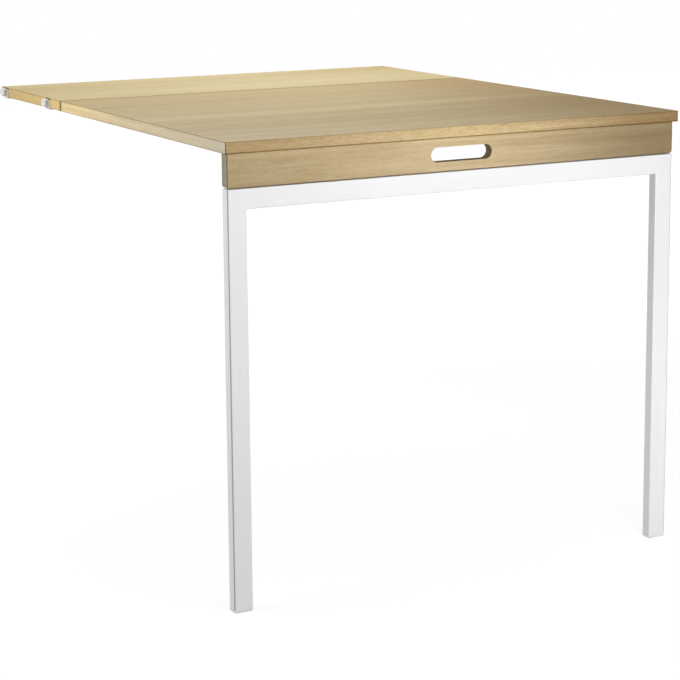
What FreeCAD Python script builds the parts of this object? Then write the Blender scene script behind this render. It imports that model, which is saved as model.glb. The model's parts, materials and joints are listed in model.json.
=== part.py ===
"""Wall-hung drop-leaf table: a fixed shelf on four rung hooks, a drop leaf and a folding leg frame.

Millimetres. +X runs along the wall, +Y points to the wall and +Z up. The origin is the middle of the
shelf's wall side, at the height of the two rungs that carry the hooks. The table is drawn in use: the
leaf is up and the legs are down.
"""

import FreeCAD, Part
import math
import os
import Sketcher
from FreeCAD import Rotation, Vector

# The driving dimensions: alias, value, what it measures
SIZES = [
    ("board_wide", 780, "both boards, along the wall"),
    ("shelf_deep", 300, "fixed shelf, wall side to seam"),
    ("leaf_deep", 660, "drop leaf, seam to front"),
    ("board_thick", 17, "both boards"),
    ("top_height", 695, "table top above the floor"),
    ("seam_gap", 0.4, "joint between the two boards"),
    ("band_thick", 1, "solid edge band round each board"),
    ("band_bevel", 0.5, "eased outer edges of the bands"),
    ("rung_radius", 2.7, "inside of a hook's arch"),
    ("strip_thick", 2, "steel strip of the hooks"),
    ("strip_wide", 18, "steel strip of the hooks"),
    ("strip_bend", 0.5, "inside of the bend round the board's lower edge"),
    ("strip_corner", 2.5, "cut corners of the strip's two ends"),
    ("hook_drop", 1, "top of a hook below the table top"),
    ("hook_lip", 8, "lip in front of the rung, below its axis"),
    ("hook_foot", 30, "strip under the board, from the board's end"),
    ("hook_front_inset", 59, "middle of a front hook behind the seam side of the shelf"),
    ("hook_back_inset", 27, "middle of a back hook in front of the wall side"),
    ("hook_screw_inset", 10, "first screw of a hook from the board's end"),
    ("hook_screw_pitch", 12, "between the two screws of a hook"),
    ("hinge_long", 60, "each hinge along its pin"),
    ("pin_radius", 1.5, "hinge pin"),
    ("pin_clear", 0.05, "running clearance round the pin"),
    ("pin_proud", 0.6, "pin past each end of its hinge"),
    ("knuckle_radius", 3.5, "outside of the rolled knuckles"),
    ("knuckle_count", 3, "knuckles of one hinge, an odd number"),
    ("knuckle_gap", 0.2, "between two knuckles along the pin"),
    ("knuckle_clear", 0.3, "knuckle to the surface that its plate is screwed to"),
    ("notch_clear", 0.4, "plate edge to the other plate's knuckle"),
    ("plate_thick", 2, "hinge plates"),
    ("plate_reach", 25, "pin axis to the outer edge of a plate"),
    ("plate_flat", 3, "pin axis to where the roll meets the flat"),
    ("plate_corner", 2, "cut outer corners of a plate"),
    ("screw_row", 15, "pin axis to the row of screws"),
    ("screw_pitch", 36, "between the screws of a plate"),
    ("plate_screws", 2, "screws in one plate"),
    ("seam_hinge_inset", 110, "middle of an outer seam hinge from the board's end"),
    ("leg_hinge_inset", 120, "middle of a leg hinge from the frame's end"),
    ("screw_flats", 8, "flats that stand for the round of a screw"),
    ("screw_head", 3.3, "radius of the countersunk heads"),
    ("screw_shank", 1.75, "radius of the shanks"),
    ("screw_rim", 0.1, "upright rim of a head"),
    ("screw_tip", 1.2, "tapered end of a screw"),
    ("screw_clear", 0.05, "round a screw in its hole"),
    ("head_clear", 0.1, "round a head in its countersink"),
    ("wood_screw_long", 14, "screws into wood, head included"),
    ("tube_screw_long", 9, "screws into the rail, head included"),
    ("pilot_spare", 1, "pilot hole past the tip of its screw"),
    ("apron_tall", 50, "apron under the leaf"),
    ("apron_thick", 18, "apron, front to back"),
    ("apron_setback", 7.5, "front of the apron behind the leaf's front edge"),
    ("apron_corner", 4, "lower corners of the apron"),
    ("apron_bevel", 0.8, "eased edges of the apron and its slot"),
    ("frame_inset", 5, "ends of apron and frame inside the board's ends"),
    ("slot_wide", 105, "hand slot in the apron"),
    ("slot_tall", 22, "hand slot in the apron"),
    ("tenon_wide", 30, "loose tenons between leaf and apron, along the wall"),
    ("tenon_thick", 6, "loose tenons, front to back"),
    ("tenon_clear", 0.1, "glue gap round a tenon"),
    ("tenon_in_leaf", 10, "tenon length in the leaf"),
    ("tenon_in_apron", 20, "tenon length in the apron"),
    ("tenon_spare", 0.5, "mortise past the tenon's end"),
    ("tenon_inset", 75, "middle of an outer tenon from the board's end"),
    ("tenon_count", 4, "tenons in the row"),
    ("rail_gap", 1.5, "between apron and rail"),
    ("tube_wide", 30, "frame tube as seen from the front"),
    ("tube_deep", 18, "frame tube, front to back"),
    ("tube_wall", 1.5, "frame tube"),
    ("tube_corner", 1.5, "outside corners of the tube"),
    ("foot_tall", 5, "foot below the end of its leg"),
    ("foot_corner", 1, "upright edges of the foot"),
    ("foot_bevel", 1.2, "lower edges of the foot"),
    ("plug_long", 15, "plug of the foot inside its leg"),
    ("plug_clear", 0.1, "round the plug"),
]

# Levels and places that follow from the sizes: alias, expression, what it is
PLACES = [
    ("board_half", "Sizes.board_wide / 2", "end of the boards"),
    ("board_top", "Sizes.rung_radius + Sizes.strip_thick + Sizes.hook_drop", "table top"),
    ("board_under", "board_top - Sizes.board_thick", "underside of both boards"),
    ("floor_level", "board_top - Sizes.top_height", "floor"),
    ("shelf_front", "-Sizes.shelf_deep", "seam side of the shelf"),
    ("leaf_back", "shelf_front - Sizes.seam_gap", "seam side of the leaf"),
    ("leaf_front", "leaf_back - Sizes.leaf_deep", "front edge of the leaf"),
    ("rung_reach", "Sizes.strip_thick + Sizes.rung_radius", "rung axis outside the board's end"),
    ("hook_top", "Sizes.rung_radius + Sizes.strip_thick", "outside of a hook's arch"),
    ("hook_under", "board_under - Sizes.strip_thick", "lower face of a hook's foot"),
    ("hook_bend_out", "Sizes.strip_bend + Sizes.strip_thick", "outside of a hook's lower bend"),
    ("front_hooks", "shelf_front + Sizes.hook_front_inset", "middle of the front hooks"),
    ("back_hooks", "-Sizes.hook_back_inset", "middle of the back hooks"),
    ("axis_drop", "Sizes.knuckle_radius + Sizes.knuckle_clear", "pin axis off its screwed face"),
    ("plate_low", "axis_drop - Sizes.plate_thick", "pin axis to the open face of a plate"),
    ("seam_y", "shelf_front - Sizes.seam_gap / 2", "axis of the seam hinges"),
    ("seam_z", "board_under - axis_drop", "axis of the seam hinges"),
    ("seam_pitch", "board_half - Sizes.seam_hinge_inset", "between two seam hinges"),
    ("apron_half", "board_half - Sizes.frame_inset", "end of apron and frame"),
    ("apron_front", "leaf_front + Sizes.apron_setback", "front face of the apron"),
    ("apron_back", "apron_front + Sizes.apron_thick", "back face of apron and frame"),
    ("apron_under", "board_under - Sizes.apron_tall", "underside of the apron"),
    ("slot_level", "board_under - Sizes.apron_tall / 2", "middle of the hand slot"),
    ("slot_half", "(Sizes.slot_wide - Sizes.slot_tall) / 2", "middle of a slot's round end"),
    ("frame_front", "apron_back - Sizes.tube_deep", "front face of the frame"),
    ("rail_top", "apron_under - Sizes.rail_gap", "top of the rail"),
    ("rail_under", "rail_top - Sizes.tube_wide", "underside of the rail"),
    ("leg_y", "apron_back + axis_drop", "axis of the leg hinges"),
    ("leg_z", "apron_under - Sizes.rail_gap / 2", "axis of the leg hinges"),
    ("leg_hinge_x", "apron_half - Sizes.leg_hinge_inset", "middle of the right leg hinge"),
    ("leg_end", "floor_level + Sizes.foot_tall", "lower end of the leg tubes"),
    ("tenon_y", "apron_back - Sizes.apron_thick / 2", "row of tenons"),
    ("tenon_half", "board_half - Sizes.tenon_inset", "middle of an outer tenon"),
    ("tenon_pitch", "2 * tenon_half / (Sizes.tenon_count - 1)", "between two tenons"),
]

doc = FreeCAD.newDocument("DropLeafTable")


def fill_sheet(name, rows, formula):
    """Make a sheet whose rows are a note, a value and its alias."""
    sheet = doc.addObject("Spreadsheet::Sheet", name)
    for row, (alias, content, note) in enumerate(rows, start=1):
        sheet.set(f"A{row}", note)
        sheet.set(f"B{row}", f"={content}" if formula else str(content))
        sheet.setAlias(f"B{row}", alias)
    doc.recompute()
    return sheet


fill_sheet("Sizes", SIZES, formula=False)
places = fill_sheet("Places", PLACES, formula=True)


def value(expression):
    """The number that an expression on the two sheets gives."""
    return float(places.evalExpression(str(expression)))


# Bodies and sketches


def new_body(label, x="0", y="0", z="0", axis=Vector(0, 0, 1), turn=0):
    """A body with its origin at x, y, z, turned about an axis."""
    body = doc.addObject("PartDesign::Body", label)
    body.Placement.Rotation = Rotation(axis, turn)
    for letter, expression in zip("xyz", (x, y, z)):
        body.setExpression(f".Placement.Base.{letter}", str(expression))
    return body


def new_sketch(body, role, name, height="0"):
    """A sketch on one of the body's own origin planes, or at a height above it."""
    plane = next(f for f in body.Origin.OriginFeatures if f.Role == role)
    sketch = body.newObject("Sketcher::SketchObject", name)
    sketch.AttachmentSupport = [(plane, "")]
    sketch.MapMode = "FlatFace"
    sketch.setExpression(".AttachmentOffset.Base.z", str(height))
    return sketch


def drive(sketch, kind, *references, by):
    """Add a dimension that follows an expression."""
    number = sketch.addConstraint(Sketcher.Constraint(kind, *references, value(by)))
    sketch.setExpression(f"Constraints[{number}]", str(by))


def arc_side(start, end, centre, turn):
    """A side that bends round its centre, counter-clockwise where turn is 1."""
    low, high = (start, end) if turn > 0 else (end, start)
    first = math.atan2(low.y - centre.y, low.x - centre.x)
    last = math.atan2(high.y - centre.y, high.x - centre.x)
    circle = Part.Circle(centre, Vector(0, 0, 1), centre.distanceToPoint(start))
    return Part.ArcOfCircle(circle, first, last if last > first else last + 2 * math.pi)


def outline(sketch, corners, arcs=None):
    """A closed outline through corners, each a pair of expressions.

    arcs gives, for the number of each side that bends, its centre's two expressions and its turn.
    """
    arcs = arcs or {}
    points = [Vector(value(x), value(y), 0) for x, y in corners]
    first, sides = sketch.GeometryCount, len(points)
    ends = []
    for side, start in enumerate(points):
        end = points[(side + 1) % sides]
        if side in arcs:
            x, y, turn = arcs[side]
            sketch.addGeometry(arc_side(start, end, Vector(value(x), value(y), 0), turn), False)
            ends.append((1, 2) if turn > 0 else (2, 1))
        else:
            sketch.addGeometry(Part.LineSegment(start, end), False)
            ends.append((1, 2))
    for side in range(sides):
        after = (side + 1) % sides
        joint = (first + side, ends[side][1], first + after, ends[after][0])
        sketch.addConstraint(Sketcher.Constraint("Coincident", *joint))
    for side, (x, y) in enumerate(corners):
        drive(sketch, "DistanceX", -1, 1, first + side, ends[side][0], by=x)
        drive(sketch, "DistanceY", -1, 1, first + side, ends[side][0], by=y)
    for side, (x, y, _) in arcs.items():
        chord = points[(side + 1) % sides] - points[side]
        upright = abs(chord.y) > abs(chord.x)
        kind, place = ("DistanceX", x) if upright else ("DistanceY", y)
        drive(sketch, kind, -1, 1, first + side, 3, by=place)


def rectangle(sketch, left, low, wide, tall):
    """A rectangle from its lower left corner, width and height."""
    right, top = f"{left} + {wide}", f"{low} + {tall}"
    outline(sketch, [(left, low), (right, low), (right, top), (left, top)])


def circles(sketch, centres, radius):
    """Equal circles round centres, each a pair of expressions."""
    for x, y in centres:
        circle = Part.Circle(Vector(value(x), value(y), 0), Vector(0, 0, 1), value(radius))
        number = sketch.addGeometry(circle, False)
        drive(sketch, "DistanceX", -1, 1, number, 3, by=x)
        drive(sketch, "DistanceY", -1, 1, number, 3, by=y)
        drive(sketch, "Radius", number, by=radius)


# Features


def pad(body, sketch, length, symmetric=False):
    """Thicken a sketch along its normal, or to both sides."""
    feature = body.newObject("PartDesign::Pad", "Pad")
    feature.Profile = sketch
    feature.SideType = "Symmetric" if symmetric else "One side"
    feature.setExpression("Length", str(length))
    doc.recompute()
    return feature


def must_cut(feature, before):
    """Stop where a cut has missed its solid."""
    doc.recompute()
    if feature.Shape.Volume > before - 1e-3:
        raise RuntimeError(f"{feature.Label} cuts nothing")
    return feature


def pocket(body, sketch, depth=None, along_normal=False):
    """Cut a sketch to a depth, against its normal or along it, or right through both ways."""
    before = body.Shape.Volume
    feature = body.newObject("PartDesign::Pocket", "Pocket")
    feature.Profile = sketch
    feature.Reversed = along_normal
    if depth is None:
        feature.Type = "ThroughAll"
        feature.SideType = "Symmetric"
    else:
        feature.setExpression("Length", str(depth))
    return must_cut(feature, before)


def near(number, expression):
    return abs(number - value(expression)) < 1e-4


def edges_on(body, letter, expression, keep=None):
    """Names of the edges of the body's tip in the plane where x, y or z has a value.

    keep, when given, tells which of them to take.
    """
    names = []
    for number, edge in enumerate(body.Tip.Shape.Edges, start=1):
        ends = [getattr(edge.BoundBox, letter.upper() + end) for end in ("Min", "Max")]
        if all(near(end, expression) for end in ends) and (keep is None or keep(edge)):
            names.append(f"Edge{number}")
    return names


def along(direction):
    """A test for straight edges that run along a direction."""

    def runs_along(edge):
        straight = edge.Curve.TypeId == "Part::GeomLine"
        return straight and edge.Curve.Direction.cross(direction).Length < 1e-6

    return runs_along


def soften(body, kind, names, size):
    """A PartDesign::Fillet or PartDesign::Chamfer on named edges."""
    base = body.Tip
    feature = body.newObject(f"PartDesign::{kind}", kind)
    feature.Base = (base, names)
    feature.setExpression("Radius" if kind == "Fillet" else "Size", size)
    doc.recompute()


def repeat(body, sketch, axis, spacing, count, whole=True):
    """Repeat the whole body, or its last feature only, along an axis of a sketch."""
    last = body.Tip
    feature = body.newObject("PartDesign::LinearPattern", "Pattern")
    if whole:
        feature.TransformMode = "Whole shape"
    else:
        feature.Originals = [last]
    feature.Direction = (sketch, [axis])
    feature.Mode = "Spacing"
    feature.setExpression("Offset", str(spacing))
    feature.setExpression("Occurrences", str(count))
    body.Tip = feature
    doc.recompute()
    return feature


# Screws and their holes


SCREW_HOLE = "Sizes.screw_shank + Sizes.screw_clear"


def polygon(sketch, x, y, radius):
    """A regular polygon that stands for the round of a screw, with the radius to its flats."""
    corners = []
    for number in range(int(value("Sizes.screw_flats"))):
        turn = f"{2 * number + 1} * 180 deg / Sizes.screw_flats"
        reach = f"({radius}) / cos(180 deg / Sizes.screw_flats)"
        corners.append((f"{x} + {reach} * cos({turn})", f"{y} + {reach} * sin({turn})"))
    outline(sketch, corners)


def one_flat(radius):
    """A test for the sides of a polygon with a given radius to its flats."""
    side = f"2 * ({radius}) * tan(180 deg / Sizes.screw_flats)"
    return lambda edge: near(edge.Length, side)


def screw_holes(body, role, centres, depth, height="0"):
    """Holes for the shanks of screws, along the normal of one of the body's planes."""
    sketch = new_sketch(body, role, "Holes", height)
    for x, y in centres:
        polygon(sketch, x, y, SCREW_HOLE)
    pocket(body, sketch, depth, along_normal=True)


def countersunk_holes(body, face, thick, centres):
    """Screw holes up through a plate from its open face, with room for the heads."""
    screw_holes(body, "XY_Plane", centres, thick, height=face)
    rims = edges_on(body, "z", face, keep=one_flat(SCREW_HOLE))
    soften(body, "Chamfer", rims, f"Sizes.screw_head + Sizes.head_clear - ({SCREW_HOLE})")


def screw_group(label, length, first, y, z, steps, upright=False):
    """Equal countersunk screws, drawn with the head's face at the origin and the tip up.

    steps lists, for each pattern over the last, the sketch axis, the spacing and the count.
    """
    body = new_body(label, first, y, z, Vector(1, 0, 0), 90 if upright else 0)
    cone = "Sizes.screw_head - Sizes.screw_shank"
    head = new_sketch(body, "XY_Plane", "Head")
    polygon(head, "0", "0", "Sizes.screw_head")
    pad(body, head, f"{cone} + Sizes.screw_rim")
    soften(body, "Chamfer", edges_on(body, "z", f"{cone} + Sizes.screw_rim"), cone)
    shank = new_sketch(body, "XY_Plane", "Shank")
    polygon(shank, "0", "0", "Sizes.screw_shank")
    pad(body, shank, length)
    soften(body, "Chamfer", edges_on(body, "z", length), "Sizes.screw_tip")
    for axis, spacing, count in steps:
        repeat(body, head, axis, spacing, count)


def hinge_screws(middles, row):
    """Centres of the screws of several plates, whose middles are given along the pin."""
    centres = []
    for middle in middles:
        for number in range(int(value("Sizes.plate_screws"))):
            step = f"({number} - (Sizes.plate_screws - 1) / 2) * Sizes.screw_pitch"
            centres.append((f"{middle} + {step}", row))
    return centres


def hook_screw_spots():
    """Centres of the screws of the four hooks under the shelf."""
    spots = []
    for side in (-1, 1):
        for inset in ("Sizes.hook_screw_inset", "Sizes.hook_screw_inset + Sizes.hook_screw_pitch"):
            x = f"{side} * (Places.board_half - ({inset}))"
            spots += [(x, "Places.front_hooks"), (x, "Places.back_hooks")]
    return spots


def mortises(body, height, y, depth, along_normal):
    """Slots for the loose tenons, from a level face at a height in the body."""
    sketch = new_sketch(body, "XY_Plane", "Mortises", height)
    clear = "2 * Sizes.tenon_clear"
    wide, thick = f"Sizes.tenon_wide + {clear}", f"Sizes.tenon_thick + {clear}"
    for number in range(int(value("Sizes.tenon_count"))):
        middle = f"-Places.tenon_half + {number} * Places.tenon_pitch"
        rectangle(sketch, f"{middle} - ({wide}) / 2", f"{y} - ({thick}) / 2", wide, thick)
    pocket(body, sketch, f"{depth} + Sizes.tenon_spare", along_normal)


SEAM_HINGES = {"left": "-Places.seam_pitch", "middle": "0", "right": "Places.seam_pitch"}
LEG_HINGES = {"left": "-Places.leg_hinge_x", "right": "Places.leg_hinge_x"}
PLATE_PILOT = "Sizes.wood_screw_long - Sizes.plate_thick + Sizes.pilot_spare"
HOOK_PILOT = "Sizes.wood_screw_long - Sizes.strip_thick + Sizes.pilot_spare"


# Boards


def board_core(name, front, deep):
    """The core of a board, inside its four edge bands, drawn from its underside up."""
    body = new_body(f"{name}_core", z="Places.board_under")
    sketch = new_sketch(body, "XY_Plane", "Outline")
    wide = "Sizes.board_wide - 2 * Sizes.band_thick"
    rectangle(
        sketch, f"-({wide}) / 2", f"{front} + Sizes.band_thick", wide, f"{deep} - 2 * Sizes.band_thick"
    )
    pad(body, sketch, "Sizes.board_thick")
    return body


def edge_band(label, left, front, wide, deep, letter, face):
    """A strip glued to one side of a board, eased round its outer face, where x or y has a value."""
    body = new_body(label, z="Places.board_under")
    sketch = new_sketch(body, "XY_Plane", "Outline")
    rectangle(sketch, left, front, wide, deep)
    pad(body, sketch, "Sizes.board_thick")
    soften(body, "Chamfer", edges_on(body, letter, face), "Sizes.band_bevel")


def edge_bands(name, front, back, deep):
    """Long bands at the front and the back, and short ones between them at the two ends."""
    band, half = "Sizes.band_thick", "Places.board_half"
    for side, low, face in (("front", front, front), ("back", f"{back} - {band}", back)):
        edge_band(f"{name}_{side}_band", f"-{half}", low, "Sizes.board_wide", band, "y", face)
    between = f"{deep} - 2 * {band}"
    for side, left, face in (("left", f"-{half}", f"-{half}"), ("right", f"{half} - {band}", half)):
        edge_band(f"{name}_{side}_band", left, f"{front} + {band}", band, between, "x", face)


def fixed_shelf():
    body = board_core("shelf", "Places.shelf_front", "Sizes.shelf_deep")
    row = "Places.seam_y + Sizes.screw_row"
    screw_holes(body, "XY_Plane", hinge_screws(SEAM_HINGES.values(), row), PLATE_PILOT)
    screw_holes(body, "XY_Plane", hook_screw_spots(), HOOK_PILOT)
    edge_bands("shelf", "Places.shelf_front", "0", "Sizes.shelf_deep")


def drop_leaf():
    body = board_core("leaf", "Places.leaf_front", "Sizes.leaf_deep")
    row = "Places.seam_y - Sizes.screw_row"
    screw_holes(body, "XY_Plane", hinge_screws(SEAM_HINGES.values(), row), PLATE_PILOT)
    mortises(body, "0", "Places.tenon_y", "Sizes.tenon_in_leaf", along_normal=True)
    edge_bands("leaf", "Places.leaf_front", "Places.leaf_back", "Sizes.leaf_deep")


# Hooks


def hook(label, side, y):
    """A bent strip: an arch over the rung, a plate down the board's end and a foot under the board.

    It is drawn round the rung's axis for the left end, and turned half round for the right end.
    """
    reach = f"{side} * (Places.board_half + Places.rung_reach)"
    body = new_body(label, x=reach, y=y, turn=0 if side < 0 else 180)
    sketch = new_sketch(body, "XZ_Plane", "Section")
    inside, outside, lip = "Sizes.rung_radius", "Places.hook_top", "-Sizes.hook_lip"
    bend_x, bend_z = f"{outside} + Sizes.strip_bend", "Places.board_under + Sizes.strip_bend"
    end = f"{outside} + Sizes.hook_foot"
    outline(
        sketch,
        [
            (f"-{outside}", lip),
            (f"-{outside}", "0"),
            (outside, "0"),
            (outside, bend_z),
            (bend_x, "Places.board_under"),
            (end, "Places.board_under"),
            (end, "Places.hook_under"),
            (bend_x, "Places.hook_under"),
            (inside, bend_z),
            (inside, "0"),
            (f"-{inside}", "0"),
            (f"-{inside}", lip),
        ],
        {1: ("0", "0", -1), 3: (bend_x, bend_z, 1), 7: (bend_x, bend_z, -1), 9: ("0", "0", 1)},
    )
    pad(body, sketch, "Sizes.strip_wide", symmetric=True)
    spots = [
        (f"{outside} + Sizes.hook_screw_inset", "0"),
        (f"{outside} + Sizes.hook_screw_inset + Sizes.hook_screw_pitch", "0"),
    ]
    countersunk_holes(body, "Places.hook_under", "Sizes.strip_thick", spots)
    corners = edges_on(body, "x", end, along(Vector(0, 0, 1))) + edges_on(body, "z", lip, along(Vector(1, 0, 0)))
    soften(body, "Chamfer", corners, "Sizes.strip_corner")


def hooks():
    for name, side in (("left", -1), ("right", 1)):
        hook(f"hook_{name}_front", side, "Places.front_hooks")
        hook(f"hook_{name}_back", side, "Places.back_hooks")


# Hinges


def hinge_plate(label, x, y, z, outer_knuckles, upright=False, turned=False):
    """One half of a butt hinge, with its pin axis along X through the origin and its plate towards +Y.

    The plate's upper face is screwed on. outer_knuckles tells the half that holds the end knuckles.
    """
    raised = Rotation(Vector(1, 0, 0), 90 if upright else 0)
    rotation = raised * Rotation(Vector(0, 0, 1), 180 if turned else 0)
    body = new_body(label, x, y, z, rotation.Axis, math.degrees(rotation.Angle))
    radius, reach = value("Sizes.knuckle_radius"), value("Sizes.plate_reach")
    face, low, flat = value("Places.axis_drop"), value("Places.plate_low"), value("Sizes.plate_flat")
    tangent = math.atan2(face, flat) + math.acos(radius / math.hypot(face, flat))
    joint = math.sqrt(radius * radius - low * low)
    section = new_sketch(body, "YZ_Plane", "Section")
    touch = Vector(radius * math.cos(tangent), radius * math.sin(tangent), 0)
    circle = Part.Circle(Vector(0, 0, 0), Vector(0, 0, 1), radius)
    bore = Part.Circle(Vector(0, 0, 0), Vector(0, 0, 1), value("Sizes.pin_radius + Sizes.pin_clear"))
    section.addGeometry(
        [
            Part.LineSegment(Vector(reach, face, 0), Vector(flat, face, 0)),
            Part.LineSegment(Vector(flat, face, 0), touch),
            Part.ArcOfCircle(circle, tangent, 2 * math.pi + math.atan2(low, joint)),
            Part.LineSegment(Vector(joint, low, 0), Vector(reach, low, 0)),
            Part.LineSegment(Vector(reach, low, 0), Vector(reach, face, 0)),
            bore,
        ],
        False,
    )
    for rule in (
        ("Coincident", 0, 2, 1, 1), ("Tangent", 1, 2, 2, 1), ("Coincident", 2, 2, 3, 1),
        ("Coincident", 3, 2, 4, 1), ("Coincident", 4, 2, 0, 1), ("Horizontal", 0), ("Horizontal", 3),
        ("Vertical", 4), ("Coincident", 2, 3, -1, 1), ("Coincident", 5, 3, -1, 1),
    ):
        section.addConstraint(Sketcher.Constraint(*rule))
    drive(section, "Radius", 2, by="Sizes.knuckle_radius")
    drive(section, "Radius", 5, by="Sizes.pin_radius + Sizes.pin_clear")
    drive(section, "DistanceX", -1, 1, 0, 2, by="Sizes.plate_flat")
    drive(section, "DistanceY", -1, 1, 0, 2, by="Places.axis_drop")
    drive(section, "DistanceX", -1, 1, 0, 1, by="Sizes.plate_reach")
    drive(section, "DistanceY", 4, 1, 4, 2, by="Sizes.plate_thick")
    pad(body, section, "Sizes.hinge_long", symmetric=True)

    knuckle = "Sizes.hinge_long / Sizes.knuckle_count"
    steps, notches = ("3", "1") if outer_knuckles else ("1", "-1")
    middle = f"-(Sizes.knuckle_count - {steps}) / 2 * {knuckle}"
    notch = new_sketch(body, "XY_Plane", "Notch")
    wide = f"{knuckle} + Sizes.knuckle_gap"
    below = "-2 * Sizes.knuckle_radius"
    tall = "3 * Sizes.knuckle_radius + Sizes.notch_clear"
    rectangle(notch, f"{middle} - ({wide}) / 2", below, wide, tall)
    pocket(body, notch)
    repeat(body, notch, "H_Axis", f"2 * {knuckle}", f"(Sizes.knuckle_count - {notches}) / 2", whole=False)

    screws = hinge_screws(["0"], "Sizes.screw_row")
    countersunk_holes(body, "Places.plate_low", "Sizes.plate_thick", screws)
    corners = edges_on(body, "y", "Sizes.plate_reach", along(Vector(0, 0, 1)))
    soften(body, "Chamfer", corners, "Sizes.plate_corner")


def hinge_pins(label, first, y, z, spacing, count):
    """The pins of a row of hinges."""
    body = new_body(label, first, y, z)
    sketch = new_sketch(body, "YZ_Plane", "Section")
    circles(sketch, [("0", "0")], "Sizes.pin_radius")
    pad(body, sketch, "Sizes.hinge_long + 2 * Sizes.pin_proud", symmetric=True)
    path = new_sketch(body, "XY_Plane", "Row")
    repeat(body, path, "H_Axis", spacing, count)


def seam_hinges():
    """Three butt hinges under the seam: the shelf holds the outer knuckles and the pins."""
    for name, x in SEAM_HINGES.items():
        at = (x, "Places.seam_y", "Places.seam_z")
        hinge_plate(f"seam_hinge_{name}_shelf_plate", *at, outer_knuckles=True)
        hinge_plate(f"seam_hinge_{name}_leaf_plate", *at, outer_knuckles=False, turned=True)
    first = SEAM_HINGES["left"]
    count = str(len(SEAM_HINGES))
    hinge_pins("seam_hinge_pins", first, "Places.seam_y", "Places.seam_z", "Places.seam_pitch", count)
    first_screw = f"{first} - (Sizes.plate_screws - 1) / 2 * Sizes.screw_pitch"
    steps = [
        ("H_Axis", "Sizes.screw_pitch", "Sizes.plate_screws"),
        ("H_Axis", "Places.seam_pitch", count),
    ]
    for name, sign in (("shelf", "+"), ("leaf", "-")):
        row = f"Places.seam_y {sign} Sizes.screw_row"
        level = "Places.board_under - Sizes.plate_thick"
        screw_group(f"{name}_hinge_screws", "Sizes.wood_screw_long", first_screw, row, level, steps)


def leg_hinges():
    """Two butt hinges behind apron and rail: the apron holds the outer knuckles and the pins."""
    for name, x in LEG_HINGES.items():
        at = (x, "Places.leg_y", "Places.leg_z")
        hinge_plate(f"leg_hinge_{name}_apron_plate", *at, outer_knuckles=True, upright=True)
        hinge_plate(f"leg_hinge_{name}_rail_plate", *at, outer_knuckles=False, upright=True, turned=True)
    first = LEG_HINGES["left"]
    spacing, count = "2 * Places.leg_hinge_x", str(len(LEG_HINGES))
    hinge_pins("leg_hinge_pins", first, "Places.leg_y", "Places.leg_z", spacing, count)
    first_screw = f"{first} - (Sizes.plate_screws - 1) / 2 * Sizes.screw_pitch"
    steps = [("H_Axis", "Sizes.screw_pitch", "Sizes.plate_screws"), ("H_Axis", spacing, count)]
    face = "Places.apron_back + Sizes.plate_thick"
    for name, sign, length in (
        ("apron", "+", "Sizes.wood_screw_long"),
        ("rail", "-", "Sizes.tube_screw_long"),
    ):
        row = f"Places.leg_z {sign} Sizes.screw_row"
        screw_group(f"{name}_hinge_screws", length, first_screw, face, row, steps, upright=True)


def hook_screws():
    """Two screws through the foot of each hook."""
    first = "-Places.board_half + Sizes.hook_screw_inset"
    across = "Sizes.board_wide - 2 * Sizes.hook_screw_inset - Sizes.hook_screw_pitch"
    steps = [
        ("H_Axis", "Sizes.hook_screw_pitch", "2"),
        ("H_Axis", across, "2"),
        ("V_Axis", "Places.back_hooks - Places.front_hooks", "2"),
    ]
    screw_group(
        "hook_screws", "Sizes.wood_screw_long", first, "Places.front_hooks", "Places.hook_under", steps
    )


# Apron


def apron():
    """The board under the leaf's front edge, with the hand slot, mortises and pilot holes."""
    body = new_body("apron", y="Places.apron_back")
    sketch = new_sketch(body, "XZ_Plane", "Front")
    half, top, low = "Places.apron_half", "Places.board_under", "Places.apron_under"
    in_x, in_z = f"{half} - Sizes.apron_corner", f"{low} + Sizes.apron_corner"
    outline(
        sketch,
        [
            (f"-{half}", top),
            (f"-{half}", in_z),
            (f"-({in_x})", low),
            (in_x, low),
            (half, in_z),
            (half, top),
        ],
        {1: (f"-({in_x})", in_z, 1), 3: (in_x, in_z, 1)},
    )
    level, end, radius = "Places.slot_level", "Places.slot_half", "Sizes.slot_tall / 2"
    outline(
        sketch,
        [
            (f"-{end}", f"{level} - {radius}"),
            (end, f"{level} - {radius}"),
            (end, f"{level} + {radius}"),
            (f"-{end}", f"{level} + {radius}"),
        ],
        {1: (end, level, 1), 3: (f"-{end}", level, 1)},
    )
    pad(body, sketch, "Sizes.apron_thick")
    rims = edges_on(body, "y", "0") + edges_on(body, "y", "-Sizes.apron_thick")
    upper = edges_on(body, "z", top)
    soften(body, "Chamfer", [name for name in rims if name not in upper], "Sizes.apron_bevel")
    mortises(body, top, "-Sizes.apron_thick / 2", "Sizes.tenon_in_apron", along_normal=False)
    row = hinge_screws(LEG_HINGES.values(), "Places.leg_z + Sizes.screw_row")
    screw_holes(body, "XZ_Plane", row, PLATE_PILOT)


def apron_tenons():
    """Loose tenons, glued a third into the leaf and two thirds into the apron."""
    lower_end = "Places.board_under - Sizes.tenon_in_apron"
    body = new_body("apron_tenons", "-Places.tenon_half", "Places.tenon_y", lower_end)
    sketch = new_sketch(body, "XY_Plane", "Section")
    wide, thick = "Sizes.tenon_wide", "Sizes.tenon_thick"
    rectangle(sketch, f"-{wide} / 2", f"-{thick} / 2", wide, thick)
    pad(body, sketch, "Sizes.tenon_in_apron + Sizes.tenon_in_leaf")
    repeat(body, sketch, "H_Axis", "Places.tenon_pitch", "Sizes.tenon_count")


# Leg frame


def tube_section(sketch, left, low, wide, tall):
    """A rectangular tube's section: the outside and, one wall in, the inside."""
    wall = "Sizes.tube_wall"
    rectangle(sketch, left, low, wide, tall)
    rectangle(sketch, f"{left} + {wall}", f"{low} + {wall}", f"{wide} - 2 * {wall}", f"{tall} - 2 * {wall}")


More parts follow.
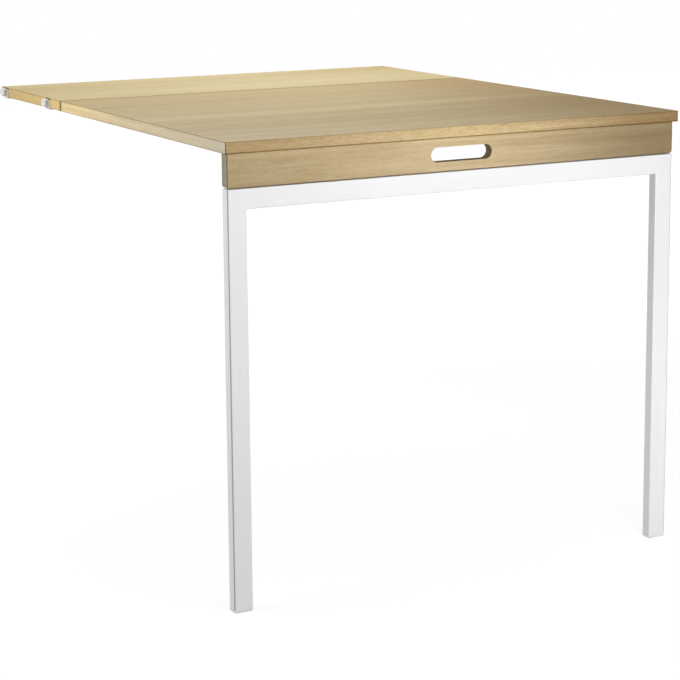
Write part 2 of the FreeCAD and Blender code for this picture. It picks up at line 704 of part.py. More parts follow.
def round_tube(body, direction):
    """Round the four outside edges of an upright or level member of the frame."""
    edges = edges_on(body, "y", "Places.frame_front", along(direction))
    edges += edges_on(body, "y", "Places.apron_back", along(direction))
    soften(body, "Fillet", edges, "Sizes.tube_corner")


def frame_rail():
    """The cross tube, mitred at both ends, with clearance holes for its hinge screws."""
    body = new_body("frame_rail")
    sketch = new_sketch(body, "YZ_Plane", "Section")
    tube_section(sketch, "Places.frame_front", "Places.rail_under", "Sizes.tube_deep", "Sizes.tube_wide")
    pad(body, sketch, "2 * Places.apron_half", symmetric=True)
    round_tube(body, Vector(1, 0, 0))
    mitre = new_sketch(body, "XZ_Plane", "Mitres")
    for side in (-1, 1):
        outer, inner = f"{side} * Places.apron_half", f"{side} * (Places.apron_half - Sizes.tube_wide)"
        corners = [(outer, "Places.rail_top"), (inner, "Places.rail_under"), (outer, "Places.rail_under")]
        outline(mitre, corners)
    pocket(body, mitre)
    row = hinge_screws(LEG_HINGES.values(), "Places.leg_z - Sizes.screw_row")
    screw_holes(body, "XZ_Plane", row, "2 * Sizes.tube_wall", height="-Places.apron_back")


def leg(name, side):
    """A leg tube from its foot to the mitre under the apron's end."""
    body = new_body(f"{name}_leg", z="Places.leg_end")
    left = "-Places.apron_half" if side < 0 else "Places.apron_half - Sizes.tube_wide"
    sketch = new_sketch(body, "XY_Plane", "Section")
    tube_section(sketch, left, "Places.frame_front", "Sizes.tube_wide", "Sizes.tube_deep")
    long = "Places.rail_top - Places.leg_end"
    pad(body, sketch, long)
    round_tube(body, Vector(0, 0, 1))
    outer, inner = f"{side} * Places.apron_half", f"{side} * (Places.apron_half - Sizes.tube_wide)"
    mitre = new_sketch(body, "XZ_Plane", "Mitre")
    outline(mitre, [(outer, long), (inner, f"{long} - Sizes.tube_wide"), (inner, long)])
    pocket(body, mitre)


def foot(name, side):
    """A moulded foot: a cap as wide as the leg, bevelled below, and a plug inside the tube."""
    body = new_body(f"{name}_foot", z="Places.floor_level")
    left = "-Places.apron_half" if side < 0 else "Places.apron_half - Sizes.tube_wide"
    cap = new_sketch(body, "XY_Plane", "Cap")
    rectangle(cap, left, "Places.frame_front", "Sizes.tube_wide", "Sizes.tube_deep")
    pad(body, cap, "Sizes.foot_tall")
    corners = edges_on(body, "y", "Places.frame_front", along(Vector(0, 0, 1)))
    corners += edges_on(body, "y", "Places.apron_back", along(Vector(0, 0, 1)))
    soften(body, "Chamfer", corners, "Sizes.foot_corner")
    soften(body, "Chamfer", edges_on(body, "z", "0"), "Sizes.foot_bevel")
    plug = new_sketch(body, "XY_Plane", "Plug", height="Sizes.foot_tall")
    inset = "Sizes.tube_wall + Sizes.plug_clear"
    rectangle(
        plug, f"{left} + {inset}", f"Places.frame_front + {inset}",
        f"Sizes.tube_wide - 2 * ({inset})", f"Sizes.tube_deep - 2 * ({inset})",
    )
    pad(body, plug, "Sizes.plug_long")


def leg_frame():
    frame_rail()
    for name, side in (("left", -1), ("right", 1)):
        leg(name, side)
        foot(name, side)


def check_objects():
    """Stop at the first object that failed, and at any sub-part with a bad shape."""
    doc.recompute()
    for item in doc.Objects:
        if {"Invalid", "Error"} & set(item.State):
            raise RuntimeError(f"{item.Label} is {item.State}")
    for body in sub_parts():
        shape = body.Shape
        if shape.isNull() or not shape.isValid() or not shape.Solids:
            raise RuntimeError(f"{body.Label} has no valid shape")


def sub_parts():
    return [item for item in doc.Objects if item.TypeId == "PartDesign::Body"]


def main():
    fixed_shelf()
    hooks()
    hook_screws()
    drop_leaf()
    seam_hinges()
    apron()
    apron_tenons()
    leg_hinges()
    leg_frame()
    check_objects()
    os.makedirs("parts", exist_ok=True)
    for body in sub_parts():
        body.Shape.exportStep(f"parts/{body.Label}.step")


main()
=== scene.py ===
"""Looks of the wall mounted drop leaf table, in Blender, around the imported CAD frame. Metres, row frame."""
import json
import math

import bmesh
import bpy
from mathutils import Matrix, Vector

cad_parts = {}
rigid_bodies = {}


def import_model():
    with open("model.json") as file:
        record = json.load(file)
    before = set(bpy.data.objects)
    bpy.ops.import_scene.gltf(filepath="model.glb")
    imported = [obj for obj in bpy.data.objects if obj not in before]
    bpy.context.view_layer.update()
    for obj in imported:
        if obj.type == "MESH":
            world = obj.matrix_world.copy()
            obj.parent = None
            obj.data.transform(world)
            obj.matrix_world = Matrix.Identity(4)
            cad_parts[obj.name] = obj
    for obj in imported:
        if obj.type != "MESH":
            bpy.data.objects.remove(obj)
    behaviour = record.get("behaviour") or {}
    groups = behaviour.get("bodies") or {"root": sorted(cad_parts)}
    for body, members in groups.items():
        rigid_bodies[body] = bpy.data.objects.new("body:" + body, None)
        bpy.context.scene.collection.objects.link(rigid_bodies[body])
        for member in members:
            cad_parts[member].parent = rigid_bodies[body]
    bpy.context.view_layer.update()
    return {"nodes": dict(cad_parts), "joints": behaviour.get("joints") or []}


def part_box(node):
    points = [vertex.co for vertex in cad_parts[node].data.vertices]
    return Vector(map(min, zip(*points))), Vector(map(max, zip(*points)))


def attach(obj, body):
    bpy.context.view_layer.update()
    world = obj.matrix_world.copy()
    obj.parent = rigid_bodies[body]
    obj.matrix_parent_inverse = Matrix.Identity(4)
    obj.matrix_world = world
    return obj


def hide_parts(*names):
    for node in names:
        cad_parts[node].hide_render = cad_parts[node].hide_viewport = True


for start_object in list(bpy.data.objects):
    bpy.data.objects.remove(start_object)
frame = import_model()
nodes = frame["nodes"]

MM = 0.001
IMAGE = 680                     # the photograph's side, in pixels
SENSOR = 36                     # the camera sensor's width, in mm
FLOOR = -0.6893                 # the feet's underside
SAME = 1e-6                     # points closer than this are one
SHARP = math.radians(40)        # edges that turn more than this stay sharp
WHITE = (1.0, 1.0, 1.0, 1.0)


def link(thing):
    """Put an object into the scene."""
    bpy.context.scene.collection.objects.link(thing)


# ---------------------------------------------------------------- camera

def add_camera(place, yaw, pitch, roll, focal, shift):
    """A camera at place, in metres. Angles in degrees, the focal length in pixels."""
    yaw, pitch, roll = (math.radians(a) for a in (yaw, pitch, roll))
    ahead = Vector((math.sin(yaw) * math.cos(pitch), math.cos(yaw) * math.cos(pitch), -math.sin(pitch)))
    right = Vector((math.cos(yaw), -math.sin(yaw), 0))
    up = right.cross(ahead)
    right, up = (right * math.cos(roll) + up * math.sin(roll),
                 up * math.cos(roll) - right * math.sin(roll))
    data = bpy.data.cameras.new("camera")
    data.sensor_width = SENSOR
    data.lens = focal / IMAGE * SENSOR
    data.shift_y = shift
    camera = bpy.data.objects.new("camera", data)
    link(camera)
    turn = Matrix((right, up, -ahead)).transposed().to_4x4()
    camera.matrix_world = Matrix.Translation(Vector(place)) @ turn
    bpy.context.scene.camera = camera


add_camera(place=(-1.6102, -3.6324, 0.3660), yaw=27.645, pitch=10.542, roll=-0.468, focal=2109.0,
           shift=-0.1)


# ---------------------------------------------------------------- node helpers

class Tree:
    """Short ways to add shader nodes to one material or world."""

    def __init__(self, owner):
        owner.use_nodes = True
        self.tree = owner.node_tree
        self.tree.nodes.clear()

    def add(self, kind, inputs=(), **settings):
        node = self.tree.nodes.new(kind)
        for name, value in settings.items():
            setattr(node, name, value)
        for name, value in dict(inputs).items():
            self.put(node, name, value)
        return node

    def put(self, node, name, value):
        socket = node.inputs[name]
        if isinstance(value, bpy.types.NodeSocket):
            self.tree.links.new(value, socket)
        else:
            socket.default_value = value

    def math(self, operation, a, b=0.0, c=0.0):
        return self.add("ShaderNodeMath", {0: a, 1: b, 2: c}, operation=operation).outputs[0]

    def vector(self, operation, a, b):
        return self.add("ShaderNodeVectorMath", {0: a, 1: b}, operation=operation).outputs[0]

    def swing(self, noise, share, onto):
        """onto, and on it that share of the noise's distance from its middle."""
        return self.math("MULTIPLY_ADD", self.math("SUBTRACT", noise, 0.5), share, onto)

    def remap(self, value, low, high, to_low=0.0, to_high=1.0, smooth=False):
        kind = "SMOOTHSTEP" if smooth else "LINEAR"
        return self.add("ShaderNodeMapRange", {0: value, 1: low, 2: high, 3: to_low, 4: to_high},
                        interpolation_type=kind).outputs[0]

    def spread(self, noise, to_low, to_high):
        """The usual span of a noise, put onto another one."""
        return self.remap(noise, 0.3, 0.7, to_low, to_high)

    def darker(self, lines, distance, reach, share):
        """lines, less that share up to the first distance of reach, and unchanged from the second on."""
        return self.math("MULTIPLY", lines, self.remap(distance, *reach, 1.0 - share, 1.0, True))

    def noise(self, vector, scale, detail=2.0, rough=0.5):
        return self.add("ShaderNodeTexNoise", {"Vector": vector, "Scale": scale, "Detail": detail,
                                               "Roughness": rough}).outputs["Fac"]

    def stretch(self, vector, scale, shift=(0, 0, 0)):
        return self.add("ShaderNodeMapping", {"Vector": vector, "Scale": scale, "Location": shift}).outputs[0]

    def grey(self, value):
        return self.add("ShaderNodeCombineColor", {0: value, 1: value, 2: value}).outputs[0]

    def mix(self, factor, a, b, blend="MIX"):
        node = self.add("ShaderNodeMix", data_type="RGBA", blend_type=blend)
        self.put(node, 0, factor)
        self.put(node, 6, a)
        self.put(node, 7, b)
        return node.outputs[2]

    def tint(self, colour, factor):
        return self.mix(1.0, colour, factor, "MULTIPLY")

    def tones(self, value, low, high, first, middle, last):
        """Colour factors that go softly from first over middle to last while value goes from low to high."""
        centre, parts = (low + high) / 2, []
        step = tuple(b - a for a, b in zip(middle, last))
        for start, end, one, two in ((low, centre, first, middle), (centre, high, (0, 0, 0), step)):
            node = self.add("ShaderNodeMapRange", {6: value, 7: (start,) * 3, 8: (end,) * 3, 9: one, 10: two},
                            data_type="FLOAT_VECTOR", interpolation_type="SMOOTHSTEP")
            parts.append(node.outputs[1])
        return self.vector("ADD", *parts)

    def bump(self, height, distance):
        return self.add("ShaderNodeBump", {"Height": height, "Distance": distance,
                                           "Strength": 1.0}).outputs[0]

    def finish(self, shader, output="ShaderNodeOutputMaterial"):
        self.tree.links.new(shader, self.add(output).inputs["Surface"])


def srgb(red, green, blue):
    """An sRGB colour, 0 to 255, as the linear values a shader takes."""
    def linear(value):
        value /= 255
        return value / 12.92 if value <= 0.04045 else ((value + 0.055) / 1.055) ** 2.4
    return (linear(red), linear(green), linear(blue), 1.0)


# ---------------------------------------------------------------- oak

X, Y, Z, TO_FRONT_RIGHT = (1, 0, 0), (0, 1, 0), (0, 0, 1), (0.82, -0.57, 0)     # directions

# noises of the oak: scale along and across the grain, detail, roughness and, for some, an offset
VENEER = (0.35, 8.0), 1.0, 0.5
BANDS = (0.9, 27.0), 2.0, 0.55
RINGS = (2.2, 150.0), 3.0, 0.6
FIBRES = (16.0, 1100.0), 3.0, 0.65
PORES = (70.0, 1900.0), 1.0, 0.5
FLECKS = (110.0, 650.0), 1.0, 0.5, (3, 7, 1)
PATCHES = (90.0, 460.0), 1.0, 0.5, (5, 2, 8)
WANDER, WANDER_BY = (1.1, 3.0, 3.0), (0, 0.05, 0.02)    # scale, and how far the grain strays

# how much veneer and bands count in the tone, rings and fibres in the lines, and pores in the colour
VENEER_SHARE, BANDS_SHARE, RINGS_SHARE, FIBRES_SHARE, PORES_SHARE = 1.5, 0.55, 0.5, 0.4, 0.5
FLECKS_FROM, PORES_FROM = (0.58, 0.74), (0.62, 0.72)    # where they begin to show, and where they are full
DARK_AT, PALE_AT = 0.2, 0.8                             # ends of the tones' ramp
LINE_RED, LINE_BLUE = 0.85, 1.35                        # powers that turn the dark lines brown, those of the grain and those of painted shade
ROUGH, FIBRES_ROUGH, PORES_ROUGH = 0.58, 0.16, 0.15     # roughness, and what fibres and pores add

# painted shade in fine lines along edges, joints and hooks: how far it is darkest, and where it ends
ARRIS_SHADE = (0.5 * MM, 1.8 * MM)
UNDER_SHADE = (0.8 * MM, 2.4 * MM)
SEAM_SHADE = (1 * MM, 7.5 * MM)
HOOK_SHADOW, HOOK_SHADE = (1 * MM, 3 * MM), 0.6           # painted shadow round each hook: its reach from the hook's side, and how much darker
SAWN = (0.2 * MM, 0.6 * MM)                             # how deep the tone of the sawn ends goes
INSIDE, INSIDE_TONE = (0.6 * MM, 1 * MM), 0.62          # how deep the walls of openings begin, and their tone, partly sawn wood and partly painted shade
PORE_BROWN = (0.62, 0.52, 0.42)                         # the pores' colour, as factors of the dark tone


def oak(name, tones, board, band, shift, arris, along="X", fleck=0.3, mottle=0.0, under=0.0, seam=None,
        hooks=(), painted_light=(), ends=None):
    """Lacquered oak, its grain along X or Y of the row frame.
    tones: the pale, middle and dark sRGB tones of its soft bands, and band is their contrast.
    board: the lowest and highest corner of the whole board.
    shift: where in the grain the board lies.
    arris: how much painted shade darkens the board's edges in a fine line: upright ones, those along Y, those
    along X.
    fleck: the share of pale short flecks. mottle: the contrast of short soft patches.
    under: how much more painted shade darkens the lower edge of a front or back.
    seam: the Y of the joint with the other board, and how much painted shade darkens it there.
    hooks: the middle and half the width of each hook, along Y. Painted shadow darkens the board behind and
    beside them.
    painted_light: slow changes of tone that are painted light and shade, each a direction and the colour
    factors where the board starts along it, in the middle and where it ends.
    ends: the colour factor of the two sawn ends. With it, the walls of openings are darker too, partly sawn
    wood and partly painted shade."""
    material = bpy.data.materials.new(name)
    t = Tree(material)
    here = t.add("ShaderNodeTexCoord").outputs["Object"]
    place = here
    if along == "Y":
        place = t.add("ShaderNodeMapping", {"Vector": place, "Rotation": (0, 0, math.pi / 2)}).outputs[0]
    place = t.stretch(place, (1, 1, 1), shift)
    stray = t.add("ShaderNodeTexNoise", {"Vector": t.stretch(place, WANDER), "Scale": 1.0, "Detail": 1.0})
    stray = t.vector("SUBTRACT", stray.outputs["Color"], (0.5, 0.5, 0.5))
    grain = t.vector("ADD", place, t.vector("MULTIPLY", stray, WANDER_BY))

    def wood(scale, detail, rough, offset=(0, 0, 0)):
        return t.noise(t.stretch(grain, (scale[0], scale[1], scale[1]), offset), 1.0, detail, rough)

    # leaves of veneer and soft bands, from dark over middle to pale
    pale, middle_tone, dark = (srgb(*tone) for tone in tones)
    wide = t.swing(wood(*BANDS), BANDS_SHARE * band, t.swing(wood(*VENEER), VENEER_SHARE * band, 0.5))
    ramp = t.add("ShaderNodeValToRGB", {"Fac": wide})
    ramp.color_ramp.interpolation = "EASE"
    first, last = ramp.color_ramp.elements
    first.position, first.color = DARK_AT, dark
    last.position, last.color = PALE_AT, pale
    ramp.color_ramp.elements.new(0.5).color = middle_tone
    flecks = t.remap(wood(*FLECKS), *FLECKS_FROM, smooth=True)
    colour = t.mix(t.math("MULTIPLY", flecks, fleck), ramp.outputs[0], pale)

    # growth rings, fibres and patches
    fibres = wood(*FIBRES)
    lines = t.swing(fibres, FIBRES_SHARE, t.swing(wood(*RINGS), RINGS_SHARE, 1.0))
    if mottle:
        lines = t.math("MULTIPLY", lines, t.spread(wood(*PATCHES), 1.0 - mottle, 1.0 + mottle))

    # painted shade in fine dark lines where the board ends, meets the other board or carries a hook
    across = t.add("ShaderNodeSeparateXYZ", {0: here}).outputs
    side = []
    for k in range(3):
        low = t.math("SUBTRACT", across[k], board[0][k])
        high = t.math("SUBTRACT", board[1][k], across[k])
        side.append(t.math("MINIMUM", low, high))
    for (one, two), share in zip(((0, 1), (0, 2), (1, 2)), arris):
        lines = t.darker(lines, t.math("MAXIMUM", side[one], side[two]), ARRIS_SHADE, share)
    if under:
        low = t.math("MAXIMUM", t.math("SUBTRACT", across[2], board[0][2]), side[1])
        lines = t.darker(lines, low, UNDER_SHADE, under)
    if seam:
        near = t.math("ABSOLUTE", t.math("SUBTRACT", across[1], seam[0]))
        lines = t.darker(lines, near, SEAM_SHADE, seam[1])
    for middle, half in hooks:
        near = t.math("ABSOLUTE", t.math("SUBTRACT", across[1], middle))
        lines = t.darker(lines, near, (half + HOOK_SHADOW[0], half + HOOK_SHADOW[1]), HOOK_SHADE)
    red, blue = t.math("POWER", lines, LINE_RED), t.math("POWER", lines, LINE_BLUE)
    colour = t.tint(colour, t.add("ShaderNodeCombineColor", {0: red, 1: lines, 2: blue}).outputs[0])

    # painted light and shade across the board, sawn ends, and pores
    for way, *factors in painted_light:
        along_way = t.add("ShaderNodeVectorMath", {0: here, 1: way}, operation="DOT_PRODUCT").outputs["Value"]
        reach = [(w * low, w * high) for w, low, high in zip(way, *board)]
        start, end = sum(map(min, reach)), sum(map(max, reach))
        colour = t.tint(colour, t.tones(along_way, start, end, *factors))
    if ends:
        sawn = t.remap(side[0], *SAWN, 1.0, 0.0, True)
        colour = t.mix(sawn, colour, t.tint(colour, (*ends, 1.0)))
        # the walls of openings are darker, partly sawn wood and partly painted shade
        inner = t.math("MINIMUM", t.math("MINIMUM", side[0], side[1]), side[2])
        colour = t.tint(colour, t.grey(t.remap(inner, *INSIDE, 1.0, INSIDE_TONE)))
    pores = t.remap(wood(*PORES), *PORES_FROM)
    brown = tuple(c * k for c, k in zip(dark[:3], PORE_BROWN)) + (1.0,)
    colour = t.mix(t.math("MULTIPLY", pores, PORES_SHARE), colour, brown)

    roughness = t.math("MULTIPLY_ADD", fibres, FIBRES_ROUGH, ROUGH)
    roughness = t.math("MULTIPLY_ADD", pores, PORES_ROUGH, roughness)
    height = t.math("SUBTRACT", t.math("MULTIPLY", fibres, FIBRES_SHARE), pores)
    shader = t.add("ShaderNodeBsdfPrincipled", {
        "Base Color": colour, "Roughness": roughness, "IOR": 1.45, "Specular IOR Level": 0.15,
        "Normal": t.bump(height, distance=0.06 * MM)})
    t.finish(shader.outputs[0])
    return material


shelf_box = (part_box("shelf_front_band")[0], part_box("shelf_back_band")[1])
leaf_box = (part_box("leaf_front_band")[0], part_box("leaf_back_band")[1])
apron_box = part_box("apron")
frame_box = (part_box("left_leg")[0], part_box("right_leg")[1])
seam_shelf, seam_leaf = shelf_box[0].y, leaf_box[1].y
hook_spans = [((low.y + high.y) / 2, (high.y - low.y) / 2)
              for low, high in map(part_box, ("hook_left_front", "hook_left_back"))]
EDGE_TONES = (226, 203, 159), (208, 181, 132), (182, 150, 103)

# Each board's slow changes of tone below are painted light and shade: lighter where lamps and sheen fall,
# darker where they fall off.
shelf_oak = oak(
    "oak_shelf", ((230, 213, 164), (220, 200, 148), (207, 185, 131)), shelf_box, band=0.7,
    shift=(-0.99, 0.36, -0.32), arris=(0.6, 0.4, 0.2), seam=(seam_shelf, 0.6),
    painted_light=((X, (0.98, 0.97, 0.93), (1.03, 1.04, 1.07), (0.93, 0.91, 0.88)),
           (Y, (1.09, 1.11, 1.13), (0.99, 0.99, 1.02), (0.97, 0.98, 1.03))))
leaf_oak = oak(
    "oak_leaf", ((224, 207, 164), (212, 192, 146), (196, 171, 124)), leaf_box, band=0.6,
    shift=(0.39, 0.33, 0.52), arris=(0.6, 0.5, 0.2), seam=(seam_leaf, 0.6),
    painted_light=((X, (0.97, 0.98, 1.0), (0.96, 0.95, 0.88), (0.76, 0.69, 0.56)),
           (Y, (1.02, 1.04, 1.08), (0.98, 0.97, 0.95), (1.0, 0.97, 0.95)),
           (TO_FRONT_RIGHT, (0.99, 0.98, 0.9), (1.12, 1.12, 1.16), (0.84, 0.81, 0.8))))
edge_oak = oak(
    "oak_edge_x", EDGE_TONES, leaf_box, band=0.8, fleck=0.25, mottle=0.085,
    shift=(0.2, 0.1, 0.3), arris=(0.75, 0.4, 0.2), under=0.55,
    painted_light=((X, (0.84, 0.83, 0.85), (1.14, 1.24, 1.38), (0.53, 0.49, 0.44)),))
side_oak = oak(
    "oak_edge_y", ((247, 229, 190), (238, 217, 173), (224, 199, 152)), leaf_box, along="Y", band=0.7,
    fleck=0.4, shift=(0.4, 0.2, 0.1), arris=(0.8, 0.5, 0.2), seam=(seam_leaf, 0.65),
    painted_light=((Y, (0.77, 0.82, 1.0), (0.83, 0.86, 0.9), (1.12, 1.09, 0.96)),))
shelf_edge_oak = oak(
    "oak_shelf_edge_x", EDGE_TONES, shelf_box, band=0.8, fleck=0.4,
    shift=(0.6, 0.1, 0.3), arris=(0.75, 0.4, 0.35))
shelf_side_oak = oak(
    "oak_shelf_edge_y", ((248, 228, 182), (238, 214, 162), (222, 195, 140)), shelf_box, along="Y", band=0.8,
    fleck=0.4, shift=(0.1, 0.5, 0.1), arris=(0.8, 0.4, 0.2), seam=(seam_shelf, 0.65), hooks=hook_spans,
    painted_light=((Y, (1.0, 0.93, 0.75), (0.9, 0.83, 0.64), (0.8, 0.75, 0.62)),))
apron_oak = oak(
    "oak_apron", ((208, 185, 146), (196, 171, 129), (180, 152, 109)), apron_box, band=0.7, fleck=0.2,
    shift=(0.7, 0.4, 0.2), arris=(0.65, 0.3, 0.2), ends=(0.75, 0.88, 1.3),
    painted_light=((X, (0.83, 0.86, 0.87), (1.09, 1.16, 1.28), (0.52, 0.53, 0.53)),
           (Z, (0.97, 0.96, 0.95), (1.0, 1.0, 1.0), (1.12, 1.14, 1.16))))


# ---------------------------------------------------------------- coat, plastic and zinc

CORNER_REACH, CORNER_SHADE = (0.8 * MM, 2 * MM), 0.64        # painted shade along the outer front corners: how far from the corner, and how much darker there


def powder_coat(name, colour, rough=0.42, grain=700.0, corner_shade_box=None):
    """Powder coat or moulded plastic: fine orange peel, and a very slight random change of tone. Along the
    outer front corners of the box given, a fine line of painted shade."""
    material = bpy.data.materials.new(name)
    t = Tree(material)
    place = t.add("ShaderNodeTexCoord").outputs["Object"]
    peel = t.noise(place, grain, 2.0, 0.55)
    fine = t.noise(place, grain * 4, 1.0)
    tone = t.math("MULTIPLY", t.spread(t.noise(place, 9.0), 0.985, 1.01), t.spread(peel, 0.99, 1.01))
    # painted shade in a fine line along the outer front corners
    if corner_shade_box:
        across = t.add("ShaderNodeSeparateXYZ", {0: place}).outputs
        outer = t.math("SUBTRACT", corner_shade_box[1].x, t.math("ABSOLUTE", across[0]))
        near = t.math("MAXIMUM", outer, t.math("SUBTRACT", across[1], corner_shade_box[0].y))
        tone = t.darker(tone, near, CORNER_REACH, CORNER_SHADE)
    shader = t.add("ShaderNodeBsdfPrincipled", {
        "Base Color": t.tint(colour, t.grey(tone)), "IOR": 1.5,
        "Roughness": t.spread(peel, rough - 0.05, rough + 0.06),
        "Normal": t.bump(t.math("MULTIPLY_ADD", fine, 0.25, peel), distance=0.04 * MM)})
    t.finish(shader.outputs[0])
    return material


def zinc(name, colour):
    """Bright zinc plate on steel: mottled, with fine drawn lines along X."""
    material = bpy.data.materials.new(name)
    t = Tree(material)
    place = t.add("ShaderNodeTexCoord").outputs["Object"]
    spots = t.noise(place, 260.0, 3.0, 0.6)
    drawn = t.noise(t.stretch(place, (60.0, 2600.0, 2600.0)), 1.0)
    tone = t.math("MULTIPLY", t.remap(spots, 0.25, 0.75, 0.86, 1.05), t.spread(drawn, 0.94, 1.04))
    shader = t.add("ShaderNodeBsdfPrincipled", {
        "Base Color": t.tint(colour, t.grey(tone)), "Metallic": 1.0,
        "Roughness": t.math("MULTIPLY_ADD", spots, 0.22, 0.24),
        "Normal": t.bump(t.math("ADD", drawn, spots), distance=0.02 * MM)})
    t.finish(shader.outputs[0])
    return material


white_coat = powder_coat("coat_white", srgb(236, 236, 237))
leg_coat = powder_coat("coat_white_legs", srgb(236, 236, 237), corner_shade_box=frame_box)
foot_plastic = powder_coat("plastic_white", srgb(232, 232, 232), rough=0.5, grain=1500.0)
zinc_plate = zinc("zinc_bright", srgb(196, 198, 201))


# ---------------------------------------------------------------- carried-over CAD nodes

def dress(material, *names):
    """Give these CAD nodes that material."""
    for name in names:
        slots = nodes[name].data.materials
        for k in range(len(slots)):
            slots[k] = material


dress(shelf_oak, "shelf_core")
dress(leaf_oak, "leaf_core")
dress(apron_oak, "apron_tenons")
dress(leg_coat, "frame_rail", "left_leg", "right_leg")
dress(white_coat, *(n for n in nodes if n.startswith("hook_") and n != "hook_screws"))
dress(foot_plastic, "left_foot", "right_foot")
dress(zinc_plate, *(n for n in nodes if "pins" in n))


# ---------------------------------------------------------------- mesh helpers

def place_piece(name, mesh, material, body, replaced):
    """Make an object of the mesh, smooth but for its sharp edges, that rides on the body. It takes the place
    of the replaced node."""
    mesh.materials.clear()
    mesh.materials.append(material)
    mesh.polygons.foreach_set("use_smooth", [True] * len(mesh.polygons))
    mesh.set_sharp_from_angle(angle=SHARP)
    piece = bpy.data.objects.new(name, mesh)
    link(piece)
    piece.modifiers.new("weighted", "WEIGHTED_NORMAL").keep_sharp = True
    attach(piece, body)
    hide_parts(replaced)


def mesh_from(bm, name):
    """The bmesh as a mesh, its faces turned outwards."""
    bmesh.ops.recalc_face_normals(bm, faces=bm.faces)
    mesh = bpy.data.meshes.new(name)
    bm.to_mesh(mesh)
    bm.free()
    return mesh


def move(bm, matrix):
    bmesh.ops.transform(bm, matrix=matrix, verts=bm.verts)


def arc_points(centre, radius, start, end, steps):
    """Points along an arc, from the start angle to the end angle, in degrees."""
    angles = [math.radians(start + (end - start) * k / steps) for k in range(steps + 1)]
    return [(centre[0] + radius * math.cos(a), centre[1] + radius * math.sin(a)) for a in angles]


def plate_mesh(name, outline, holes, thick, ease, ease_steps=3):
    """A flat plate of that outline with holes, its rims rounded. It lies in XY, centred on z = 0."""
    curve = bpy.data.curves.new(name, "CURVE")
    curve.dimensions = "2D"
    curve.fill_mode = "BOTH"
    for points in (outline, *holes):
        spline = curve.splines.new("POLY")
        spline.points.add(len(points) - 1)
        for point, (x, y) in zip(spline.points, points):
            point.co = (x, y, 0, 1)
        spline.use_cyclic_u = True
    curve.extrude = thick / 2 - ease
    curve.bevel_depth = ease
    curve.bevel_resolution = ease_steps - 1
    curve.offset = -ease
    stand_in = bpy.data.objects.new(name, curve)
    mesh = bpy.data.meshes.new_from_object(stand_in)
    bpy.data.objects.remove(stand_in)
    bpy.data.curves.remove(curve)
    bm = bmesh.new()
    bm.from_mesh(mesh)
    bpy.data.meshes.remove(mesh)
    bmesh.ops.remove_doubles(bm, verts=bm.verts, dist=SAME)
    return bm


def lathe(profile, steps):
    """A closed turned body round Z through (radius, z) points that start and end on the axis."""
    bm = bmesh.new()
    turns = [2 * math.pi * k / steps for k in range(steps)]
    rings = []
    for radius, z in profile:
        if radius == 0:
            rings.append([bm.verts.new((0, 0, z))])
        else:
            rings.append([bm.verts.new((radius * math.cos(a), radius * math.sin(a), z)) for a in turns])
    for one, two in zip(rings, rings[1:]):
        for k in range(steps):
            loop = [one[k % len(one)], one[(k + 1) % len(one)], two[(k + 1) % len(two)], two[k % len(two)]]
            bm.faces.new(list(dict.fromkeys(loop)))
    return bm


def cut(bm, name, cutters):
    """The mesh with the cutters' shapes taken out of it."""
    body = bpy.data.objects.new(name, mesh_from(bm, name))
    link(body)
    tools = []
    for k, cutter in enumerate(cutters):
        tool = bpy.data.objects.new(f"{name}_cutter_{k}", mesh_from(cutter, f"{name}_cutter_{k}"))
        link(tool)
        tools.append(tool)
        boolean = body.modifiers.new("cut", "BOOLEAN")
        boolean.operation, boolean.solver, boolean.object = "DIFFERENCE", "EXACT", tool
    bpy.context.view_layer.update()
    result = bpy.data.meshes.new_from_object(body.evaluated_get(bpy.context.evaluated_depsgraph_get()))
    for used in (body, *tools):
        data = used.data
        bpy.data.objects.remove(used)
        bpy.data.meshes.remove(data)
    return result


# ---------------------------------------------------------------- edge bands and apron

BAND_EASE = 0.55 * MM           # radius of the bands' rims


def edge_band(node, body, axis, outer, material, whole):
    """A strip of edge band with its outer rims rounded. whole tells that its ends are outer rims too."""
    low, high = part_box(node)
    bm = bmesh.new()
    bmesh.ops.create_cube(bm, size=1)
    for v in bm.verts:
        v.co = Vector(low[k] if v.co[k] < 0 else high[k] for k in range(3))
    rims = []
    for e in bm.edges:
        out = all(abs(v.co[axis] - outer) < SAME for v in e.verts)
        upright = abs(e.verts[0].co.z - e.verts[1].co.z) > SAME
        if out and (whole or not upright):
            rims.append(e)
    bmesh.ops.bevel(bm, geom=rims, offset=BAND_EASE, segments=3, profile=0.5, affect="EDGES")
    place_piece(node + "_strip", mesh_from(bm, node), material, body, node)


for body, (low, high), front_oak, end_oak in (
        ("shelf", shelf_box, shelf_edge_oak, shelf_side_oak),
        ("leaf", leaf_box, edge_oak, side_oak)):
    edge_band(body + "_front_band", body, axis=1, outer=low.y, material=front_oak, whole=True)
    edge_band(body + "_back_band", body, axis=1, outer=high.y, material=front_oak, whole=True)
    edge_band(body + "_left_band", body, axis=0, outer=low.x, material=end_oak, whole=False)
    edge_band(body + "_right_band", body, axis=0, outer=high.x, material=end_oak, whole=False)

APRON_CORNER, APRON_EASE = 4 * MM, 0.8 * MM             # radii of its lower corners and of its rims
SLOT_HALF, SLOT_END = 41.5 * MM, 11 * MM                # the slot's middle to its end arcs, and their radius


